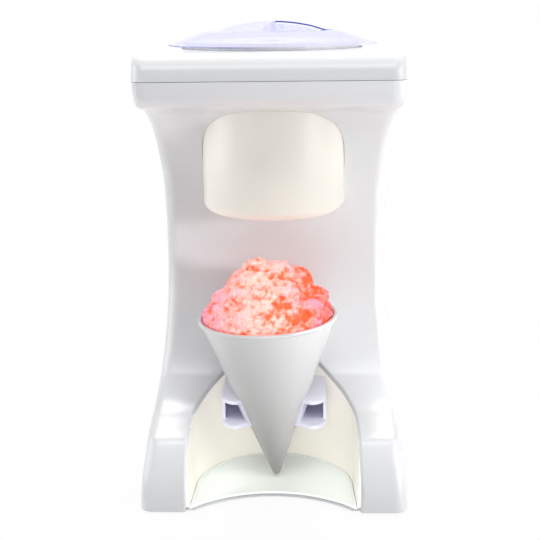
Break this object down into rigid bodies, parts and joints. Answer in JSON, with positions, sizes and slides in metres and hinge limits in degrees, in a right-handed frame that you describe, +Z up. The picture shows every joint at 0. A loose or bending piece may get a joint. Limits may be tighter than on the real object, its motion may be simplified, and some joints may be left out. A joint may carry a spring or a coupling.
{
  "type": "snow cone machine",
  "caption": "Electric snow cone machine: lift-off press lid over an ice hopper, geared blade disc in a snow drum, cone fork and tray in an open alcove below.",
  "frame": {"origin": "middle of the footprint, on the table under the rubber feet", "axes": "+Z up, -Y to the front where the cone stands, +X to the right seen from the front"},
  "size_m": [0.1808, 0.2143, 0.3217],
  "materials": {
    "white_abs": "glossy moulded ABS, slightly cool white",
    "ivory_abs": "glossy moulded ABS, ivory",
    "holder_plastic": "slightly cloudy lavender-white polypropylene",
    "lid_plastic": "clear lavender-tinted polycarbonate",
    "tray_plastic": "pale mint translucent plastic",
    "cone_plastic": "white moulded plastic, satin gloss",
    "shaved_ice": null,
    "steel": "ground stainless steel",
    "motor_steel": "zinc-plated drawn steel",
    "brass": "turned brass",
    "acetal": "natural white acetal",
    "black_plastic": "black moulded nylon",
    "rubber": "dark moulded rubber"
  },
  "bodies": {
    "base": {"front_housing": "white_abs", "rear_housing": "white_abs", "top_cover": "white_abs", "base_plate": "white_abs", "rubber_foot_1": "rubber", "rubber_foot_2": "rubber", "rubber_foot_3": "rubber", "rubber_foot_4": "rubber", "alcove_liner": "ivory_abs", "cone_holder": "holder_plastic", "snow_chamber": "ivory_abs", "spindle_bush": "brass", "gear_cover": "acetal", "motor_can": "motor_steel", "motor_end_bell": "black_plastic", "motor_screw_1": "steel", "motor_screw_2": "steel", "motor_screw_3": "steel", "ice_hopper": "white_abs", "interlock_switch": "black_plastic", "cord_gland": "black_plastic", "lid_spring_1": "steel", "lid_spring_2": "steel", "lid_spring_3": "steel"},
    "blade_rotor": {"ring_gear": "acetal", "blade_disc": "steel", "shaving_blade_1": "steel", "shaving_blade_2": "steel", "spindle": "steel", "spindle_clip": "steel", "disc_nut": "steel"},
    "motor_rotor": {"motor_shaft": "steel", "drive_pinion": "acetal", "cooling_fan": "black_plastic"},
    "press": {"press_ring": "acetal", "interlock_rod": "acetal"},
    "lid": {"lid_dome": "lid_plastic", "lid_insert": "white_abs", "pusher_spring": "steel"},
    "pusher": {"ice_pusher": "acetal"},
    "switch": {"switch_button": "holder_plastic"},
    "tray": {"drip_tray": "tray_plastic"},
    "cone": {"snow_cone_cup": "cone_plastic", "shaved_ice": "shaved_ice"}
  },
  "joints": [
    {"name": "rotor_spin", "type": "hinge", "parent": "base", "child": "blade_rotor", "pos_m": [0, -0.017, 0.21], "axis": [0, 0, 1], "continuous": true},
    {"name": "pinion_spin", "type": "hinge", "parent": "base", "child": "motor_rotor", "pos_m": [0, 0.043, 0.21], "axis": [0, 0, 1], "continuous": true},
    {"name": "lid_press", "type": "slide", "parent": "base", "child": "press", "axis": [0, 0, -1], "range_m": [0, 0.0015], "stiffness_N_per_m": 1500, "springref_m": -0.002, "deforming": ["lid_spring_1", "lid_spring_2", "lid_spring_3"]},
    {"name": "switch_press", "type": "slide", "parent": "base", "child": "switch", "axis": [0, 0, -1], "range_m": [0, 0.0015]},
    {"name": "lid_lift", "type": "slide", "parent": "press", "child": "lid", "axis": [0, 0, 1], "range_m": [0, 0.12]},
    {"name": "pusher_slide", "type": "slide", "parent": "lid", "child": "pusher", "axis": [0, 0, 1], "range_m": [0, 0.024], "stiffness_N_per_m": 100, "springref_m": -0.01, "deforming": ["pusher_spring"]},
    {"name": "tray_slide", "type": "slide", "parent": "base", "child": "tray", "axis": [0, -1, 0], "range_m": [0, 0.1]},
    {"name": "cone_out", "type": "slide", "parent": "base", "child": "cone", "axis": [0, -0.7071, 0.7071], "range_m": [0, 0.16]}
  ],
  "couplings": [
    {"joint": "pinion_spin", "follows": "rotor_spin", "ratio": -2.3333},
    {"joint": "switch_press", "follows": "lid_press", "ratio": 1}
  ]
}
